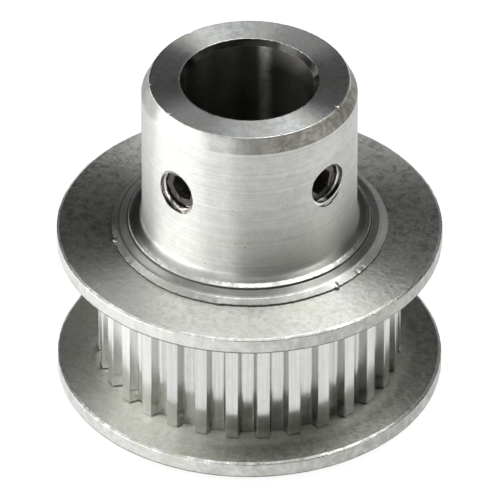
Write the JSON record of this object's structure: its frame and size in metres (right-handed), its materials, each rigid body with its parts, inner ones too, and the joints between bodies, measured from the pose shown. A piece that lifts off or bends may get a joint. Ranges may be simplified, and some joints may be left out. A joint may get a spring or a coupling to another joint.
{
  "type": "timing belt pulley",
  "caption": "Flanged timing belt pulley with straight teeth, a long bored hub and radial set screws that clamp it to a shaft.",
  "frame": {"origin": "centre of the lower end face, on the pulley's axis", "axes": "+Z along the axis from the toothed rim to the hub, +X along one set screw's hole and -Y along the other's"},
  "size_m": [0.0242, 0.024, 0.0224],
  "materials": {
    "body_aluminium": "satin, as turned",
    "flange_aluminium": "satin, tumbled",
    "screw_steel": "black oxide"
  },
  "bodies": {
    "pulley": {"pulley_body": "body_aluminium", "upper_flange": "flange_aluminium", "lower_flange": "flange_aluminium"},
    "screw_x": {"set_screw_x": "screw_steel"},
    "screw_y": {"set_screw_y": "screw_steel"}
  },
  "joints": [
    {"name": "screw_x_travel", "type": "slide", "parent": "pulley", "child": "screw_x", "axis": [1, 0, 0], "range_m": [-0.0005, 0.002]},
    {"name": "screw_y_travel", "type": "slide", "parent": "pulley", "child": "screw_y", "axis": [0, -1, 0], "range_m": [-0.0005, 0.002]}
  ]
}
